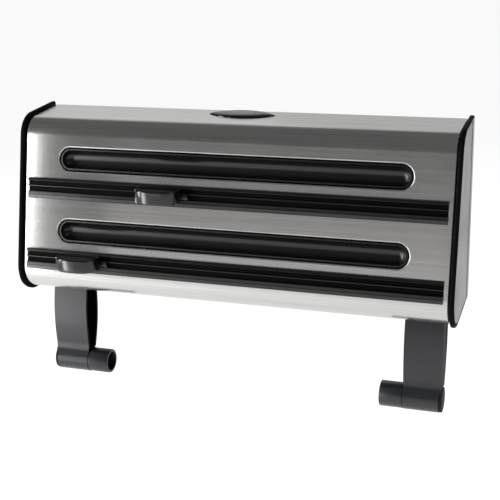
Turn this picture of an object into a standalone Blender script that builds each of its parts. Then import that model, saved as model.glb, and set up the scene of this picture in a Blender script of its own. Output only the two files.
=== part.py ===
"""Wall dispenser for film, foil and kitchen roll.

Metres, +Z up. X runs along the housing, the front faces -Y, and the wall is the plane y = 0.
The origin is the middle of the back plate's rear face, where the dispenser meets the wall.
Heights in the profile constants below are counted from the cheeks' lower back corner.
"""

import bpy
import bmesh
import math
from mathutils import Matrix, Vector

GAP = 0.0003                    # between pieces that touch

# Housing outline, seen from the side: (y, height) of its four sharp corners
RISE = 0.078                    # the origin's height over the cheeks' lower back corner
TOP_BACK = (0.0, 0.1559)
TOP_FRONT = (-0.0574, 0.1520)
LOW_FRONT = (-0.09135, -0.0069)
LOW_BACK = (0.0, 0.0)
TOP_ROUND = 0.0210
LOW_ROUND = 0.0245
BACK_ROUND = 0.0020
ROUND_STEPS = 9

# Across the width
HALF_WIDTH = 0.1925
CHEEK_THICK = 0.0039
CHEEK_INNER = HALF_WIDTH - CHEEK_THICK
SKIN_HALF = 0.1870
RIM_PROUD = 0.00294             # the cheek's rim over the steel
SHEET = 0.0008
INSIDE_HALF = CHEEK_INNER - GAP

# The cheeks' silver inlays: their borders at the top, the front, the bottom and the back
INLAY_BORDERS = (0.0020, 0.0026, 0.0034, 0.0125)
INLAY_ROUNDS = (0.0030, 0.0185, 0.0215, 0.0030)

# Cover
END_DEPTH = 0.0050
END_OUTER = 0.18765
END_INNER = 0.1834
COVER_BACK_Y = -0.0012
COVER_LOW_Y = -0.0665
END_BACK_Y = -0.0030
HINGE = (-0.0735, 0.0137)
KNUCKLE_R = 0.0052
PIN_R = 0.0025
PIN_PLAY = 0.00006

# Slots and troughs, measured along the tilted front
SLOT_HALF = 0.1549
SLOT_TALL = 0.0207
UPPER_SLOT_Z = 0.1164
LOWER_SLOT_Z = 0.05535
FLANGE_DEPTH = 0.0026
TROUGH_SLIT = 0.0012
TROUGH_SET_BACK = 0.0010
TROUGH_RADIUS = 0.0079
TROUGH_DEEP = 0.0104
TROUGH_BAR_TALL = 0.0120
TROUGH_BAR_THICK = 0.0024
SLOT_STEPS = 16

# Rails and cutters
RAIL_HALF = 0.1834
RAIL_TALL = 0.0179
UPPER_RAIL_Z = 0.0907
LOWER_RAIL_Z = 0.02978
UPPER_CUTTER_X = -0.0575
LOWER_CUTTER_X = -0.1300
KNOB_HALF = 0.0195
KNOB_DEEP = 0.0160
KNOB_TALL = 0.0116
KNOB_LIFT = 0.0010
CARRIAGE_FACE = 0.0056          # the carriage's front over the steel, where the knob sits
CARRIAGE_LEFT = 0.0150
CARRIAGE_RIGHT = 0.0255
BLADE_HALF = 0.0090

# Latch
LATCH_X = -0.0020
LATCH_HALF = 0.0290
LATCH_DEEP = 0.0240
LATCH_TIP = 0.0028
LATCH_Y = -0.0150
LATCH_PLAY = 0.0005
LATCH_PROUD = 0.0024
LATCH_UNDER = 0.0030
SEAT_DROP = 0.0110
SEAT_HALF = 0.0350

# Arms and hubs
ARM_OUTER = 0.1798
ARM_INNER = 0.1472
ARM_WALL = 0.0026
ARM_PIVOT_X = 0.1635
ARM_PIVOT_Z = 0.0120
ARM_PIN_R = 0.0020
HUB_Y = -0.0434
HUB_Z = -0.0786
HUB_R = 0.0113
HUB_INNER = 0.1272
HUB_STUB_R = 0.0107
HUB_BORE_R = 0.0086
HUB_SPIGOT_R = 0.0080
CAP_R = 0.0109
CAP_THICK = 0.0018
ARM_FRONT = ((-0.0388, 0.0165), (-0.0456, -0.0100), (-0.0488, -0.0260), (-0.0500, -0.0420), (-0.0496, -0.0560),
             (-0.0487, -0.0680))
ARM_BACK = ((-0.0345, -0.0680), (-0.0300, -0.0550), (-0.0265, -0.0400), (-0.0249, -0.0240), (-0.0250, -0.0080),
            (-0.0266, 0.0165))

# Back plate, bottom plate and trays
PLATE_THICK = 0.0020
BACK_LOW = 0.0040
BACK_HIGH = 0.1503
STRIKE_LOW = 0.1365
STRIKE_HIGH = 0.1465
BOTTOM_LOW = 0.0012
BOTTOM_FRONT_Y = -0.0540
KEYHOLE_X = 0.1200
KEYHOLE_Z = 0.1180
TRAY_HALF = 0.1560
TRAY_R = 0.0220
TRAY_WALL = 0.0018
ROLL_Y = -(PLATE_THICK + GAP + TRAY_R + TRAY_WALL)
LOWER_ROLL_Z = 0.0520
UPPER_ROLL_Z = 0.1130
BRACKET_HALF = 0.0090
BRACKET_FRONT = -0.0530
BRACKET_BACK = -0.0180
BRACKET_WALL = 0.0022
BRACKET_TOP = 0.0232

BLACK = (0.016, 0.016, 0.018)
DARK = (0.032, 0.033, 0.037)
STEEL = (0.56, 0.56, 0.55)
SILVER = (0.50, 0.51, 0.52)


# ---------------------------------------------------------------- the front's frame

FRONT_RUN = Vector((0.0, TOP_FRONT[0] - LOW_FRONT[0], TOP_FRONT[1] - LOW_FRONT[1])).normalized()
FRONT_OUT = Vector((0.0, -FRONT_RUN.z, FRONT_RUN.y))
TOP_RUN = Vector((0.0, TOP_BACK[0] - TOP_FRONT[0], TOP_BACK[1] - TOP_FRONT[1])).normalized()
TOP_OUT = Vector((0.0, -TOP_RUN.z, TOP_RUN.y))


def front_point(height, out=0.0):
    """The point of the steel's front face at a height, moved outwards by out."""
    start = Vector((0.0, LOW_FRONT[0], LOW_FRONT[1] - RISE)) - FRONT_OUT * RIM_PROUD
    along = (height - RISE - start.z) / FRONT_RUN.z
    return start + FRONT_RUN * along + FRONT_OUT * out


def front_matrix(height, x=0.0):
    """Local x across, local y up along the front, local z out of it."""
    place = front_point(height)
    across = Vector((1.0, 0.0, 0.0))
    turn = Matrix((across, FRONT_RUN, FRONT_OUT)).transposed().to_4x4()
    return Matrix.Translation((x, place.y, place.z)) @ turn


def top_matrix(x, y):
    """Local x across, local y backwards along the top, local z out of it; at the steel's outer face."""
    start = Vector((0.0, TOP_BACK[0], TOP_BACK[1] - RISE)) - TOP_OUT * RIM_PROUD
    along = (y - start.y) / TOP_RUN.y
    place = start + TOP_RUN * along
    across = Vector((1.0, 0.0, 0.0))
    turn = Matrix((across, TOP_RUN, TOP_OUT)).transposed().to_4x4()
    return Matrix.Translation((x, place.y, place.z)) @ turn


# ---------------------------------------------------------------- outlines

def inset_corners(depths):
    """The housing's four corners, its sides moved inwards: the top, the front, the bottom, the back."""
    corners = [Vector(c) for c in (TOP_BACK, TOP_FRONT, LOW_FRONT, LOW_BACK)]
    lines = []
    for i, start in enumerate(corners):
        run = (corners[(i + 1) % 4] - start).normalized()
        lines.append((start + Vector((-run.y, run.x)) * depths[i], run))
    moved = []
    for i in range(4):
        p, d = lines[i - 1]
        q, e = lines[i]
        t = ((q.x - p.x) * e.y - (q.y - p.y) * e.x) / (d.x * e.y - d.y * e.x)
        moved.append(p + d * t)
    return moved


def rounded(before, corner, after, radius, steps):
    """Points of the arc that rounds a corner."""
    a = (before - corner).normalized()
    b = (after - corner).normalized()
    half = a.angle(b) / 2
    centre = corner + (a + b).normalized() * (radius / math.sin(half))
    start = corner + a * (radius / math.tan(half))
    end = corner + b * (radius / math.tan(half))
    first = start - centre
    last = end - centre
    sweep = first.angle(last)
    if first.x * last.y - first.y * last.x < 0:
        sweep = -sweep
    points = []
    for i in range(steps + 1):
        turn = sweep * i / steps
        c, s = math.cos(turn), math.sin(turn)
        points.append(centre + Vector((first.x * c - first.y * s, first.x * s + first.y * c)))
    return points


def housing_loop(depth):
    """The closed side outline, inset by depth, from the top's back corner to the front and round."""
    corners = inset_corners([depth] * 4)
    radii = (BACK_ROUND, TOP_ROUND - depth, LOW_ROUND - depth, BACK_ROUND)
    steps = (3, ROUND_STEPS, ROUND_STEPS, 3)
    loop = []
    for i in range(4):
        loop += rounded(corners[i - 1], corners[i], corners[(i + 1) % 4], radii[i], steps[i])
    return loop


def cover_line(depth, back_y=COVER_BACK_Y):
    """The open line of the cover at a depth: from the top's back edge to partway round the bottom."""
    corners = inset_corners([depth] * 4)
    top_run = (corners[0] - corners[1]).normalized()
    line = [corners[1] + top_run * ((back_y - corners[1].x) / top_run.x)]
    line += rounded(corners[0], corners[1], corners[2], TOP_ROUND - depth, ROUND_STEPS)
    arc = rounded(corners[1], corners[2], corners[3], LOW_ROUND - depth, ROUND_STEPS)
    kept = [p for p in arc if p.x < COVER_LOW_Y]
    after = arc[len(kept)]
    share = (COVER_LOW_Y - kept[-1].x) / (after.x - kept[-1].x)
    return line + kept + [kept[-1].lerp(after, share)]


def stadium(half_length, half_height, steps=SLOT_STEPS):
    """A closed outline with two straight sides and round ends, in local x and y."""
    run = half_length - half_height
    loop = []
    for side, start in ((1, -math.pi / 2), (-1, math.pi / 2)):
        for i in range(steps + 1):
            turn = start + math.pi * i / steps
            loop.append(Vector((side * run + half_height * math.cos(turn), half_height * math.sin(turn))))
    return loop


def lens(half_length, depth, tip, steps=14):
    """A closed outline of two flat arcs that meet in small round tips."""
    run = half_length - tip
    half = depth / 2 - tip
    radius = (run ** 2 + half ** 2) / (2 * half)
    reach = math.asin(run / radius)
    loop = []
    for side in (1, -1):
        for i in range(steps + 1):
            turn = reach - 2 * reach * i / steps
            out = radius + tip
            loop.append(Vector((side * out * math.sin(turn), side * (out * math.cos(turn) - radius + half))))
        for i in range(1, 6):
            turn = reach + (math.pi - 2 * reach) * i / 6
            loop.append(Vector((-side * (run + tip * math.sin(turn)), side * tip * math.cos(turn))))
    return loop


def knob_outline(half_length, depth, steps=32, power=2.8):
    """Half of a superellipse, flat at the back, in local x and -y."""
    loop = []
    for i in range(steps + 1):
        turn = math.pi * i / steps
        c, s = math.cos(turn), math.sin(turn)
        x = half_length * math.copysign(abs(c) ** (2 / power), c)
        loop.append(Vector((x, -depth * abs(s) ** (2 / power))))
    return loop


# ---------------------------------------------------------------- making objects

def clear_scene():
    for obj in list(bpy.data.objects):
        bpy.data.objects.remove(obj, do_unlink=True)
    for col in list(bpy.data.collections):
        bpy.data.collections.remove(col)


def new_collection(name, hidden=False):
    col = bpy.data.collections.new(name)
    bpy.context.scene.collection.children.link(col)
    col.hide_render = hidden
    return col


def make_material(name, colour, roughness, metallic=0.0):
    mat = bpy.data.materials.new(name)
    mat.use_nodes = True
    shader = mat.node_tree.nodes["Principled BSDF"]
    shader.inputs["Base Color"].default_value = (*colour, 1.0)
    shader.inputs["Roughness"].default_value = roughness
    shader.inputs["Metallic"].default_value = metallic
    mat.diffuse_color = (*colour, 1.0)
    return mat


def put(name, mesh, col, mat=None):
    obj = bpy.data.objects.new(name, mesh)
    col.objects.link(obj)
    if mat:
        mesh.materials.clear()
        mesh.materials.append(mat)
    return obj


def outline_mesh(name, loop, depth):
    """A closed solid from a flat outline: a filled 2D curve, extruded half its depth each way."""
    data = bpy.data.curves.new(name, "CURVE")
    data.dimensions = "2D"
    data.fill_mode = "BOTH"
    data.extrude = depth / 2
    line = data.splines.new("POLY")
    line.points.add(len(loop) - 1)
    for point, place in zip(line.points, loop):
        point.co = (place.x, place.y, 0.0, 1.0)
    line.use_cyclic_u = True
    curve = bpy.data.objects.new(name + "_outline", data)
    bpy.context.scene.collection.objects.link(curve)
    bpy.context.view_layer.update()
    mesh = bpy.data.meshes.new_from_object(curve.evaluated_get(bpy.context.evaluated_depsgraph_get()))
    bpy.data.objects.remove(curve)
    bm = bmesh.new()
    bm.from_mesh(mesh)
    bmesh.ops.remove_doubles(bm, verts=bm.verts, dist=1e-6)
    bmesh.ops.recalc_face_normals(bm, faces=bm.faces)
    bm.to_mesh(mesh)
    bm.free()
    mesh.name = name
    return mesh


SIDE_TURN = Matrix(((0.0, 0.0, 1.0), (1.0, 0.0, 0.0), (0.0, 1.0, 0.0))).to_4x4()


def side_solid(name, loop, x_low, x_high, col, mat=None):
    """An outline in (y, height), extruded along X from x_low to x_high."""
    low = [Vector((p[0], p[1] - RISE)) for p in loop]
    mesh = outline_mesh(name, low, x_high - x_low)
    mesh.transform(SIDE_TURN)
    obj = put(name, mesh, col, mat)
    obj.location = ((x_low + x_high) / 2, 0.0, 0.0)
    return obj


def flat_solid(name, loop, low, high, matrix, col, mat=None):
    """An outline in a tilted frame's x and y, extruded from low to high along its z."""
    mesh = outline_mesh(name, loop, high - low)
    obj = put(name, mesh, col, mat)
    obj.matrix_world = matrix @ Matrix.Translation((0.0, 0.0, (low + high) / 2))
    return obj


def box(name, low, high, col, mat=None, matrix=None):
    """A box between two corners; matrix places its frame."""
    mesh = bpy.data.meshes.new(name)
    bm = bmesh.new()
    bmesh.ops.create_cube(bm, size=1.0)
    size = [b - a for a, b in zip(low, high)]
    middle = [(a + b) / 2 for a, b in zip(low, high)]
    bmesh.ops.scale(bm, verts=bm.verts, vec=size)
    bm.to_mesh(mesh)
    bm.free()
    obj = put(name, mesh, col, mat)
    obj.matrix_world = (matrix or Matrix()) @ Matrix.Translation(middle)
    return obj


def rod(name, radius, start, end, col, mat=None, sides=24):
    """A cylinder between two points."""
    start, end = Vector(start), Vector(end)
    mesh = bpy.data.meshes.new(name)
    bm = bmesh.new()
    bmesh.ops.create_cone(bm, cap_ends=True, segments=sides, radius1=radius, radius2=radius,
                          depth=(end - start).length)
    bm.to_mesh(mesh)
    bm.free()
    obj = put(name, mesh, col, mat)
    turn = Vector((0.0, 0.0, 1.0)).rotation_difference(end - start).to_matrix().to_4x4()
    obj.matrix_world = Matrix.Translation((start + end) / 2) @ turn
    smooth(obj)
    return obj


def turned(name, profile, axis_place, turn, col, mat, steps=28):
    """A turned shape: a profile of (radius, height), from top to bottom, spun about local z."""
    mesh = bpy.data.meshes.new(name)
    bm = bmesh.new()
    verts = [bm.verts.new((r, 0.0, h)) for r, h in profile]
    for a, b in zip(verts, verts[1:]):
        bm.edges.new((a, b))
    bm.to_mesh(mesh)
    bm.free()
    obj = put(name, mesh, col, mat)
    obj.matrix_world = Matrix.Translation(axis_place) @ turn
    screw = obj.modifiers.new("Turn", "SCREW")
    screw.angle = 2 * math.pi
    screw.steps = steps
    screw.render_steps = steps
    screw.use_merge_vertices = True
    screw.merge_threshold = 0.00001
    smooth(obj)
    return obj


def coil(name, radius, wire, pitch, turns, place, turn, col, mat):
    """A spring: a POLY spline in a helix about local z."""
    data = bpy.data.curves.new(name, "CURVE")
    data.dimensions = "3D"
    data.bevel_depth = wire
    data.bevel_resolution = 2
    data.use_fill_caps = True
    per_turn = 12
    count = int(turns * per_turn) + 1
    line = data.splines.new("POLY")
    line.points.add(count - 1)
    for i, point in enumerate(line.points):
        angle = 2 * math.pi * i / per_turn
        height = pitch * (i / per_turn - turns / 2)
        point.co = (radius * math.cos(angle), radius * math.sin(angle), height, 1.0)
    obj = bpy.data.objects.new(name, data)
    col.objects.link(obj)
    obj.matrix_world = Matrix.Translation(place) @ turn
    data.materials.append(mat)
    return obj


def smooth(obj, angle=35.0):
    obj.data.shade_smooth()
    obj.data.set_sharp_from_angle(angle=math.radians(angle))


def bevel(obj, width, segments=2, angle=40.0):
    mod = obj.modifiers.new("Rounded edges", "BEVEL")
    mod.width = width
    mod.segments = segments
    mod.limit_method = "ANGLE"
    mod.angle_limit = math.radians(angle)
    return mod


def boolean(obj, tool, operation="DIFFERENCE"):
    mod = obj.modifiers.new(operation.title(), "BOOLEAN")
    mod.operation = operation
    mod.object = tool
    tool.hide_render = True
    tool.display_type = "WIRE"
    return mod


X_TURN = Matrix.Rotation(math.pi / 2, 4, "Y")
Y_TURN = Matrix.Rotation(-math.pi / 2, 4, "X")


# ---------------------------------------------------------------- the fixed housing

def cheeks(parts, tools, mats):
    for side, name in ((-1, "left"), (1, "right")):
        low, high = sorted((side * CHEEK_INNER, side * HALF_WIDTH))
        cheek = side_solid(f"{name}_cheek", housing_loop(0.0), low, high, parts, mats["black"])
        low, high = sorted((side * (HALF_WIDTH - 0.0010), side * (HALF_WIDTH + 0.0010)))
        panel_loop = panel_outline(0.0)
        recess = side_solid(f"{name}_panel_recess", panel_loop, low, high, tools)
        boolean(cheek, recess)
        bevel(cheek, 0.0006, 2, 60.0)
        low, high = sorted((side * (HALF_WIDTH - 0.0010 + GAP), side * (HALF_WIDTH - 0.0001)))
        panel = side_solid(f"{name}_cheek_panel", panel_outline(GAP), low, high, parts, mats["silver"])
        bevel(panel, 0.0002, 1, 60.0)


def panel_outline(margin):
    """The silver inlay: a wide black border at the back, narrow ones elsewhere."""
    moved = inset_corners([border + margin for border in INLAY_BORDERS])
    steps = (3, 8, 8, 3)
    loop = []
    for i in range(4):
        loop += rounded(moved[i - 1], moved[i], moved[(i + 1) % 4], INLAY_ROUNDS[i], steps[i])
    return loop


def back_plate(parts, tools, mats):
    low = (-INSIDE_HALF, -PLATE_THICK, BACK_LOW - RISE)
    plate = box("back_plate", low, (INSIDE_HALF, 0.0, BACK_HIGH - RISE), parts, mats["black"])
    for side in (-1, 1):
        x = side * KEYHOLE_X
        z = KEYHOLE_Z - RISE
        head = rod(f"keyhole_head_{side}", 0.0045, (x, -0.01, z), (x, 0.01, z), tools)
        neck = box(f"keyhole_neck_{side}", (x - 0.0022, -0.01, z), (x + 0.0022, 0.01, z + 0.0095), tools)
        boolean(plate, head)
        boolean(plate, neck)


def bottom_plate(parts, tools, mats):
    """The floor of the housing, with a window that each arm comes down through."""
    low = (-INSIDE_HALF, BOTTOM_FRONT_Y, BOTTOM_LOW - RISE)
    high = (INSIDE_HALF, -PLATE_THICK - GAP, BOTTOM_LOW + PLATE_THICK - RISE)
    plate = box("bottom_plate", low, high, parts, mats["black"])
    for side in (-1, 1):
        low_x, high_x = sorted((side * (ARM_INNER - 0.0050), side * (ARM_OUTER + 0.0060)))
        window = box(f"arm_window_{side}", (low_x, -0.0500, low[2] - 0.01), (high_x, -0.0212, high[2] + 0.01),
                     tools)
        boolean(plate, window)


def trays(parts, mats):
    """A curved cradle under each roll; its back edge rises along the back plate."""
    for name, z in (("upper", UPPER_ROLL_Z), ("lower", LOWER_ROLL_Z)):
        outer, inner = [], []
        for i in range(13):
            turn = math.radians(140 * i / 12)
            away = Vector((math.cos(turn), -math.sin(turn)))
            outer.append(Vector((ROLL_Y, z)) + away * (TRAY_R + TRAY_WALL))
            inner.append(Vector((ROLL_Y, z)) + away * TRAY_R)
        top = z + 0.016
        loop = [Vector((inner[0].x, top)), *inner, *outer[::-1], Vector((outer[0].x, top))]
        tray = side_solid(f"{name}_tray", loop, -TRAY_HALF, TRAY_HALF, parts, mats["black"])
        smooth(tray)


def arm_brackets(parts, tools, mats):
    """A bridge with two ears stands on the bottom plate and holds each arm's pin across Y."""
    for side, name in ((-1, "left"), (1, "right")):
        x = side * ARM_PIVOT_X
        foot = BOTTOM_LOW + PLATE_THICK + GAP - RISE
        body = box(f"{name}_arm_bracket", (x - BRACKET_HALF, BRACKET_FRONT, foot),
                   (x + BRACKET_HALF, BRACKET_BACK, BRACKET_TOP - RISE), parts, mats["dark"])
        hollow = box(f"bracket_hollow_{name}", (x - 0.02, BRACKET_FRONT + BRACKET_WALL, foot - 0.01),
                     (x + 0.02, BRACKET_BACK - BRACKET_WALL, BRACKET_TOP - BRACKET_WALL - RISE), tools)
        bore = rod(f"bracket_bore_{name}", ARM_PIN_R + PIN_PLAY, (x, -0.07, ARM_PIVOT_Z - RISE),
                   (x, 0.0, ARM_PIVOT_Z - RISE), tools)
        boolean(body, hollow)
        boolean(body, bore)


def hinge_pins(parts, mats):
    for side, name in ((-1, "left"), (1, "right")):
        start = (side * (CHEEK_INNER - GAP), HINGE[0], HINGE[1] - RISE)
        end = (side * (END_INNER - 0.0012), HINGE[0], HINGE[1] - RISE)
        pin = rod(f"{name}_hinge_pin", PIN_R, start, end, parts, mats["steel"])
        bevel(pin, 0.0003, 1)

# ---------------------------------------------------------------- the cover

def cover_skin(parts, tools, mats):
    """One sheet of steel with two stadium slots whose edges turn inwards, and a hole for the latch button."""
    loop = cover_line(RIM_PROUD) + cover_line(RIM_PROUD + SHEET)[::-1]
    skin = side_solid("cover_skin", loop, -SKIN_HALF, SKIN_HALF, parts, mats["steel"])
    for name, z in (("upper", UPPER_SLOT_Z), ("lower", LOWER_SLOT_Z)):
        edge = flat_solid(f"{name}_slot_edge", stadium(SLOT_HALF + SHEET, SLOT_TALL / 2 + SHEET),
                          -FLANGE_DEPTH, -SHEET / 2, front_matrix(z), tools)
        hole = flat_solid(f"{name}_slot_hole", stadium(SLOT_HALF, SLOT_TALL / 2),
                          -0.010, 0.010, front_matrix(z), tools)
        boolean(skin, edge, "UNION")
        boolean(skin, hole)
    outline = lens(LATCH_HALF + LATCH_PLAY, LATCH_DEEP + 2 * LATCH_PLAY, LATCH_TIP + LATCH_PLAY)
    boolean(skin, flat_solid("latch_hole", outline, -0.005, 0.005, top_matrix(LATCH_X, LATCH_Y), tools))
    smooth(skin)


def cover_ends(parts, tools, mats):
    """A plastic band stiffens each end of the sheet and carries the knuckle of the cover's hinge."""
    outer = RIM_PROUD + SHEET + GAP
    loop = cover_line(outer, END_BACK_Y) + cover_line(outer + END_DEPTH, END_BACK_Y)[::-1]
    for side, name in ((-1, "left"), (1, "right")):
        low, high = sorted((side * END_INNER, side * END_OUTER))
        band = side_solid(f"{name}_cover_end", loop, low, high, parts, mats["black"])
        z = HINGE[1] - RISE
        knuckle = rod(f"{name}_knuckle", KNUCKLE_R, (low, HINGE[0], z), (high, HINGE[0], z), tools)
        bore = rod(f"{name}_hinge_bore", PIN_R + PIN_PLAY,
                   (low - 0.01, HINGE[0], z), (high + 0.01, HINGE[0], z), tools)
        boolean(band, knuckle, "UNION")
        boolean(band, bore)
        smooth(band)


def troughs(parts, tools, mats):
    """A hollowed stadium fills each slot but for the film's slit; its bar runs to the end bands."""
    for name, z in (("upper", UPPER_SLOT_Z), ("lower", LOWER_SLOT_Z)):
        place = front_matrix(z)
        body = flat_solid(f"{name}_trough", stadium(SLOT_HALF - TROUGH_SLIT, SLOT_TALL / 2 - TROUGH_SLIT),
                          -TROUGH_DEEP, -TROUGH_SET_BACK, place, parts, mats["black"])
        bar_high = -FLANGE_DEPTH - 2 * GAP
        bar = box(f"{name}_trough_bar", (-END_INNER + GAP, -TROUGH_BAR_TALL / 2, bar_high - TROUGH_BAR_THICK),
                  (END_INNER - GAP, TROUGH_BAR_TALL / 2, bar_high), tools, matrix=place)
        run = SLOT_HALF - SLOT_TALL / 2
        profile = []
        for i in range(9):
            turn = math.pi / 2 * i / 8
            profile.append((TROUGH_RADIUS * math.sin(turn), run + TROUGH_RADIUS * math.cos(turn)))
        profile += [(r, -h) for r, h in profile[::-1]]
        turn = place.to_3x3().to_4x4() @ X_TURN
        centre = place @ Vector((0.0, 0.0, -TROUGH_SET_BACK))
        hollow = turned(f"{name}_trough_hollow", profile, centre, turn, tools, None, 32)
        boolean(body, bar, "UNION")
        boolean(body, hollow)
        smooth(body)


def rail_profile():
    """The rail's cross-section, (along the front, out of it), from its lower edge round."""
    half = RAIL_TALL / 2
    return [Vector(p) for p in (
        (-half, GAP), (-half, 0.0020), (-half + 0.0004, 0.0024), (-0.0059, 0.0029), (-0.0056, 0.0021),
        (-0.0039, 0.0021), (-0.0036, 0.0034), (-0.0029, 0.0034), (-0.0028, 0.0009), (0.0016, 0.0009),
        (0.0016, 0.0031), (0.0027, 0.0031), (0.0028, 0.0014), (0.0065, 0.0014), (0.0065, 0.0034),
        (half - 0.0005, 0.0032), (half, 0.0027), (half, GAP))]


def rails(parts, mats):
    for name, z in (("upper", UPPER_RAIL_Z), ("lower", LOWER_RAIL_Z)):
        flat_solid(f"{name}_rail", rail_profile(), -RAIL_HALF, RAIL_HALF, rail_matrix(z),
                   parts, mats["black"])


def rail_matrix(height, x=0.0):
    """Local x up along the front, local y out of it, local z along the rail."""
    place = front_point(height)
    turn = Matrix((FRONT_RUN, FRONT_OUT, Vector((1.0, 0.0, 0.0)))).transposed().to_4x4()
    return Matrix.Translation((x, place.y, place.z)) @ turn


def carriage_profile():
    """A narrow bar over the rail's middle ridge, with a tongue in the deep groove."""
    return [Vector(p) for p in (
        (-0.0024, 0.0026), (0.0012, 0.0026), (0.0012, 0.0036), (0.0027, 0.0036),
        (0.0027, CARRIAGE_FACE), (-0.0010, CARRIAGE_FACE), (-0.0010, 0.0040), (-0.0024, 0.0040))]


def cutters(parts, tools, mats):
    """Each cutter: a carriage on the rail, a blade under it in the groove, and a knob in front."""
    for name, z, x in (("upper", UPPER_RAIL_Z, UPPER_CUTTER_X), ("lower", LOWER_RAIL_Z, LOWER_CUTTER_X)):
        pivot = bpy.data.objects.new(f"{name}_cutter_place", None)
        parts.objects.link(pivot)
        pivot.matrix_world = rail_matrix(z, x)
        carriage = flat_solid(f"{name}_cutter_carriage", carriage_profile(), -CARRIAGE_LEFT, CARRIAGE_RIGHT,
                              Matrix(), parts, mats["black"])
        bevel(carriage, 0.0002, 1)
        blade = box(f"{name}_cutter_blade", (-0.0002, 0.0012, -BLADE_HALF),
                    (0.0002, 0.0026 - GAP, BLADE_HALF), parts, mats["steel"])
        for piece in (carriage, blade):
            piece.parent = pivot
        cutter_knob(name, z, x, parts, tools, mats)


def cutter_knob(name, z, x, parts, tools, mats):
    """A level D-shaped knob whose back is cut to the slope of the carriage."""
    middle = z + KNOB_LIFT
    face = front_point(middle, CARRIAGE_FACE + GAP)
    reach = 0.0030
    outline = knob_outline(KNOB_HALF, KNOB_DEEP)
    outline = [Vector((KNOB_HALF, reach)), *outline, Vector((-KNOB_HALF, reach))]
    place = Matrix.Translation((x, face.y, face.z))
    knob = flat_solid(f"{name}_cutter_knob", outline, -KNOB_TALL / 2, KNOB_TALL / 2, place,
                      parts, mats["dark"])
    bevel(knob, 0.0010, 2, 60.0)
    behind = box(f"{name}_knob_back", (-0.04, -0.04, -0.04), (0.04, 0.04, 0.0), tools,
                 matrix=front_matrix(middle, x) @ Matrix.Translation((0.0, 0.0, CARRIAGE_FACE + GAP)))
    boolean(knob, behind)
    smooth(knob)


def latch(parts, mats):
    """The lens-shaped button, the hook under it, and the spring that a bridge under the sheet holds."""
    place = top_matrix(LATCH_X, LATCH_Y)
    button = flat_solid("latch_button", lens(LATCH_HALF, LATCH_DEEP, LATCH_TIP), -LATCH_UNDER, LATCH_PROUD,
                        place, parts, mats["gloss"])
    bevel(button, 0.0009, 2, 60.0)
    smooth(button)
    box("latch_hook", (-0.008, 0.0062, -0.0150), (0.008, 0.0086, -LATCH_UNDER - GAP),
        parts, mats["dark"], place)
    low, high = -SEAT_DROP - 0.0016, -SHEET - GAP
    half, foot = SEAT_HALF, 0.0030
    bridge = [(-half, high), (-half, low), (half, low), (half, high), (half - foot, high),
              (half - foot, -SEAT_DROP), (-half + foot, -SEAT_DROP), (-half + foot, high)]
    turn = Matrix(((1.0, 0.0, 0.0), (0.0, 0.0, -1.0), (0.0, 1.0, 0.0))).to_4x4()
    flat_solid("latch_seat", [Vector(p) for p in bridge], 0.0, 0.0100,
               place @ Matrix.Translation((0.0, 0.0010, 0.0)) @ turn, parts, mats["dark"])
    wire = 0.00035
    room = SEAT_DROP - LATCH_UNDER - 2 * GAP - 2 * wire
    turns = 5
    middle = place @ Vector((0.0, -0.0040, -(SEAT_DROP + LATCH_UNDER) / 2))
    coil("latch_spring", 0.0030, wire, room / turns, turns, middle,
         place.to_3x3().to_4x4(), parts, mats["steel"])


def latch_strike(parts, mats):
    """The catch on the back plate, just behind the hook."""
    low = (LATCH_X - 0.012, -0.0048, STRIKE_LOW - RISE)
    box("latch_strike", low, (LATCH_X + 0.012, -PLATE_THICK - GAP, STRIKE_HIGH - RISE), parts, mats["dark"])


# ---------------------------------------------------------------- the kitchen roll's arms

def arm_outline():
    return [Vector(p) for p in ARM_FRONT + ARM_BACK]


def arm_channel():
    """The hollow between the arm's front and back walls, open at its top."""
    front = [Vector(p) + Vector((ARM_WALL, 0.0)) for p in ARM_FRONT[:-1]]
    back = [Vector(p) - Vector((ARM_WALL, 0.0)) for p in ARM_BACK[1:]]
    front[0].y = back[-1].y = 0.03
    floor = HUB_Z + HUB_R
    return front + [Vector((-0.0462, floor)), Vector((-0.0366, floor))] + back


def arms(parts, tools, mats):
    """Each arm: a channel open towards the roll, with a tube across its lower end."""
    for side, name in ((-1, "left"), (1, "right")):
        def span(a, b):
            return sorted((side * a, side * b))
        arm = side_solid(f"{name}_arm", arm_outline(), *span(ARM_INNER, ARM_OUTER), parts, mats["dark"])
        axis = Vector((0.0, HUB_Y, HUB_Z - RISE))
        def across(label, radius, a, b, sides=32):
            low, high = span(a, b)
            return rod(f"{name}_{label}", radius, (low, axis.y, axis.z), (high, axis.y, axis.z),
                       tools, sides=sides)
        pivot = (side * ARM_PIVOT_X, ARM_PIVOT_Z - RISE)
        bore = rod(f"{name}_arm_bore", ARM_PIN_R + PIN_PLAY,
                   (pivot[0], -0.07, pivot[1]), (pivot[0], 0.0, pivot[1]), tools)
        boolean(arm, across("arm_tube", HUB_R, ARM_INNER, ARM_OUTER - CAP_THICK - GAP), "UNION")
        boolean(arm, side_solid(f"{name}_arm_channel", arm_channel(),
                                *span(ARM_INNER - 0.01, ARM_OUTER - ARM_WALL), tools))
        boolean(arm, across("hub_socket", HUB_SPIGOT_R + GAP, ARM_INNER - 0.01, ARM_OUTER - 0.0060))
        boolean(arm, across("cap_seat", HUB_R + 0.0002, ARM_OUTER - CAP_THICK - GAP, ARM_OUTER + 0.01))
        boolean(arm, bore)
        smooth(arm)
        hub(name, side, axis, parts, mats)
        arm_pin_and_spring(name, side, pivot, parts, mats)


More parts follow.
